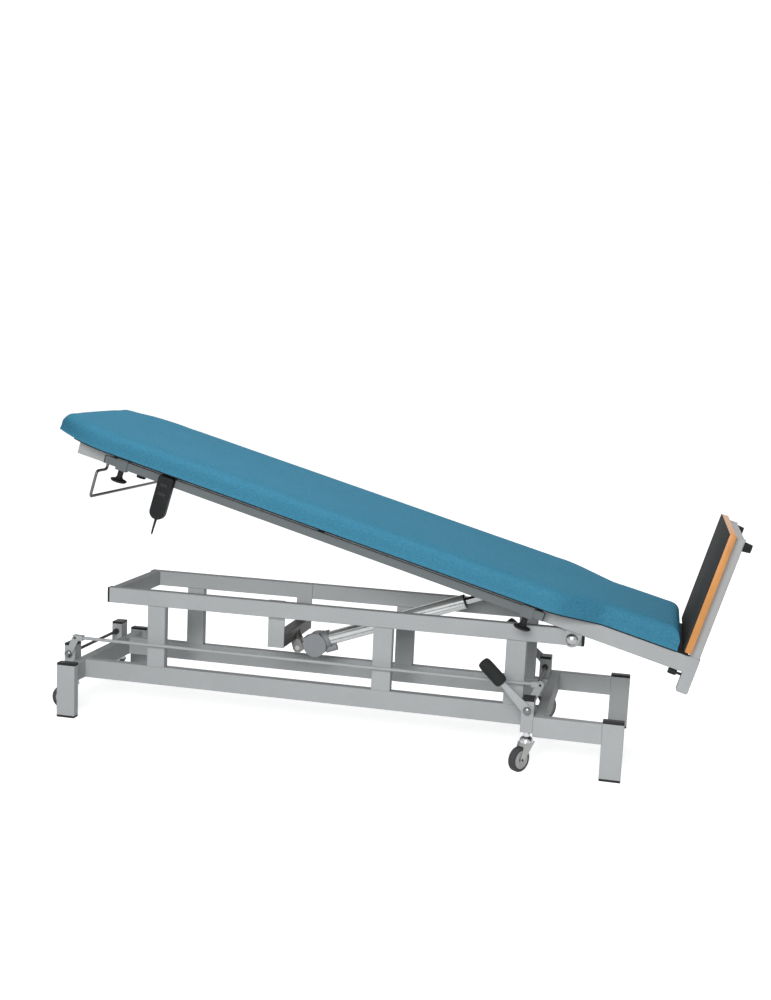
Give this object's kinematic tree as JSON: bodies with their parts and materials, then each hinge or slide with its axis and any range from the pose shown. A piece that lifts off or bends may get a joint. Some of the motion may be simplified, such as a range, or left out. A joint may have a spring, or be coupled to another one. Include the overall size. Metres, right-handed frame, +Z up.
{
  "type": "physiotherapy tilt table",
  "caption": "Tilting treatment table with padded top, footboard, electric actuator, side rails, handset and pedal-lifted casters on a steel frame.",
  "frame": {"origin": "on the floor, under the middle of the whole box", "axes": "+Z up, +X along the table towards the footboard, -Y the side with the handset and the link rod"},
  "size_m": [2.1476, 0.6796, 0.974],
  "materials": {
    "frame_paint": "fine textured silver-grey powder coat",
    "rail_aluminium": "satin anodised",
    "black_plastic": "fine grain",
    "button_plastic": "satin",
    "black_rubber": "matt",
    "mat_rubber": "matt, fine grain",
    "chrome": "polished",
    "zinc_steel": "zinc plated",
    "dark_steel": "satin dark grey",
    "housing_grey": "smooth cast, satin paint",
    "tyre_grey": "matt",
    "upholstery_vinyl": "petrol blue vinyl with a fine grain",
    "beech_ply": "clear lacquered, warm edge"
  },
  "bodies": {
    "base": {"lower_rails": "frame_paint", "cross_members": "frame_paint", "uprights": "frame_paint", "top_frame": "frame_paint", "legs": "frame_paint", "tube_caps": "black_plastic", "leg_feet": "black_rubber", "drop_plates": "frame_paint", "actuator_crossbar": "dark_steel", "caster_posts": "frame_paint", "pivot_bolts": "chrome", "clevis_pin": "zinc_steel"},
    "pedal_shaft": {"foot_shaft": "dark_steel", "pedal_arms": "frame_paint", "pedal_grips": "black_rubber", "foot_shaft_nuts": "chrome"},
    "head_lift_shaft": {"head_shaft": "dark_steel", "head_shaft_nuts": "chrome"},
    "link": {"link_rod": "frame_paint"},
    "caster_stems": {"near_foot_stem": "zinc_steel", "far_foot_stem": "zinc_steel", "near_head_stem": "zinc_steel", "far_head_stem": "zinc_steel"},
    "near_foot_swivel": {"near_foot_fork": "frame_paint"},
    "near_foot_roller": {"near_foot_wheel": "tyre_grey"},
    "far_foot_swivel": {"far_foot_fork": "frame_paint"},
    "far_foot_roller": {"far_foot_wheel": "tyre_grey"},
    "near_head_swivel": {"near_head_fork": "frame_paint"},
    "near_head_roller": {"near_head_wheel": "tyre_grey"},
    "far_head_swivel": {"far_head_fork": "frame_paint"},
    "far_head_roller": {"far_head_wheel": "tyre_grey"},
    "tabletop": {"main_rails": "frame_paint", "table_cross_tubes": "frame_paint", "pivot_brackets": "frame_paint", "rest_pads": "black_rubber", "top_panel": "black_plastic", "mattress": "upholstery_vinyl", "side_rails": "rail_aluminium", "side_rail_caps": "black_plastic", "paper_bar": "dark_steel", "rail_clamps": "rail_aluminium", "handset": "black_plastic", "handset_lead": "black_plastic", "control_box": "black_plastic", "footboard_sockets": "frame_paint"},
    "head_knob": {"head_clamp_knob": "black_plastic"},
    "foot_knob": {"foot_clamp_knob": "black_plastic"},
    "up_key": {"button_up": "button_plastic"},
    "down_key": {"button_down": "button_plastic"},
    "near_lock": {"near_lock_knob": "black_plastic"},
    "far_lock": {"far_lock_knob": "black_plastic"},
    "footboard": {"footboard_frame": "frame_paint", "footboard_board": "beech_ply", "footboard_mat": "mat_rubber", "footboard_bumpers": "black_rubber"},
    "actuator_body": {"actuator_housing": "housing_grey", "actuator_tube": "chrome", "actuator_sleeve": "zinc_steel"},
    "spindle": {"actuator_spindle": "zinc_steel"},
    "push_rod": {"actuator_rod": "chrome"}
  },
  "joints": [
    {"name": "pedal", "type": "hinge", "parent": "base", "child": "pedal_shaft", "pos_m": [0.4872, 0, 0.188], "axis": [0, -1, 0], "range_deg": [0, 60]},
    {"name": "head_shaft_turn", "type": "hinge", "parent": "base", "child": "head_lift_shaft", "pos_m": [-1.0138, 0, 0.188], "axis": [0, -1, 0], "range_deg": [0, 60]},
    {"name": "link_turn", "type": "hinge", "parent": "pedal_shaft", "child": "link", "pos_m": [0.51242, -0.215, 0.24464], "axis": [0, -1, 0], "range_deg": [-60, 0]},
    {"name": "caster_lift", "type": "slide", "parent": "base", "child": "caster_stems", "axis": [0, 0, -1], "range_m": [0, 0.0075]},
    {"name": "near_foot_swivel_turn", "type": "hinge", "parent": "caster_stems", "child": "near_foot_swivel", "pos_m": [0.4872, -0.281, 0.09], "axis": [0, 0, 1], "continuous": true},
    {"name": "near_foot_roll", "type": "hinge", "parent": "near_foot_swivel", "child": "near_foot_roller", "pos_m": [0.47114, -0.30394, 0.038], "axis": [-0.8192, 0.5736, 0], "continuous": true},
    {"name": "far_foot_swivel_turn", "type": "hinge", "parent": "caster_stems", "child": "far_foot_swivel", "pos_m": [0.4872, 0.281, 0.09], "axis": [0, 0, 1], "continuous": true},
    {"name": "far_foot_roll", "type": "hinge", "parent": "far_foot_swivel", "child": "far_foot_roller", "pos_m": [0.5012, 0.30525, 0.038], "axis": [0.866, -0.5, 0], "continuous": true},
    {"name": "near_head_swivel_turn", "type": "hinge", "parent": "caster_stems", "child": "near_head_swivel", "pos_m": [-1.0138, -0.185, 0.09], "axis": [0, 0, 1], "continuous": true},
    {"name": "near_head_roll", "type": "hinge", "parent": "near_head_swivel", "child": "near_head_roller", "pos_m": [-1.03805, -0.199, 0.038], "axis": [-0.5, 0.866, 0], "continuous": true},
    {"name": "far_head_swivel_turn", "type": "hinge", "parent": "caster_stems", "child": "far_head_swivel", "pos_m": [-1.0138, 0.185, 0.09], "axis": [0, 0, 1], "continuous": true},
    {"name": "far_head_roll", "type": "hinge", "parent": "far_head_swivel", "child": "far_head_roller", "pos_m": [-1.03805, 0.199, 0.038], "axis": [0.5, 0.866, 0], "continuous": true},
    {"name": "tilt", "type": "hinge", "parent": "base", "child": "tabletop", "pos_m": [0.5947, 0, 0.391], "axis": [0, 1, 0], "range_deg": [-14.5, 69.7]},
    {"name": "head_knob_turn", "type": "hinge", "parent": "tabletop", "child": "head_knob", "pos_m": [-0.81934, -0.273, 0.77784], "axis": [0.2639, 0, 0.9646], "range_deg": [0, 360]},
    {"name": "foot_knob_turn", "type": "hinge", "parent": "tabletop", "child": "foot_knob", "pos_m": [0.45387, -0.273, 0.42953], "axis": [0.2639, 0, 0.9646], "range_deg": [0, 360]},
    {"name": "up_press", "type": "slide", "parent": "tabletop", "child": "up_key", "axis": [0, 1, 0], "range_m": [0, 0.001], "stiffness_N_per_m": 800, "springref_m": -0.001},
    {"name": "down_press", "type": "slide", "parent": "tabletop", "child": "down_key", "axis": [0, 1, 0], "range_m": [0, 0.001], "stiffness_N_per_m": 800, "springref_m": -0.001},
    {"name": "near_lock_turn", "type": "hinge", "parent": "tabletop", "child": "near_lock", "pos_m": [0.91012, -0.2085, 0.31612], "axis": [0.9646, 0, -0.2639], "range_deg": [-360, 0]},
    {"name": "far_lock_turn", "type": "hinge", "parent": "tabletop", "child": "far_lock", "pos_m": [0.91012, 0.2085, 0.31612], "axis": [0.9646, 0, -0.2639], "range_deg": [-360, 0]},
    {"name": "footboard_height", "type": "slide", "parent": "tabletop", "child": "footboard", "axis": [0.2639, 0, 0.9646], "range_m": [0, 0.07]},
    {"name": "actuator_swing", "type": "hinge", "parent": "base", "child": "actuator_body", "pos_m": [-0.2943, 0, 0.236], "axis": [0, 1, 0], "range_deg": [-6.38, 1.34]},
    {"name": "spindle_turn", "type": "hinge", "parent": "actuator_body", "child": "spindle", "pos_m": [-0.20051, 0, 0.27069], "axis": [0.9379, 0, 0.3469], "continuous": true},
    {"name": "actuator_stroke", "type": "slide", "parent": "actuator_body", "child": "push_rod", "axis": [0.9379, 0, 0.3469], "range_m": [-0.06402, 0.30754]}
  ],
  "couplings": [
    {"joint": "head_shaft_turn", "follows": "pedal", "ratio": 1},
    {"joint": "link_turn", "follows": "pedal", "ratio": -1},
    {"joint": "caster_lift", "follows": "pedal", "m_per_rad": 0.007162},
    {"joint": "actuator_swing", "follows": "tilt", "ratio": -0.091203},
    {"joint": "actuator_stroke", "follows": "tilt", "m_per_rad": 0.25277}
  ]
}
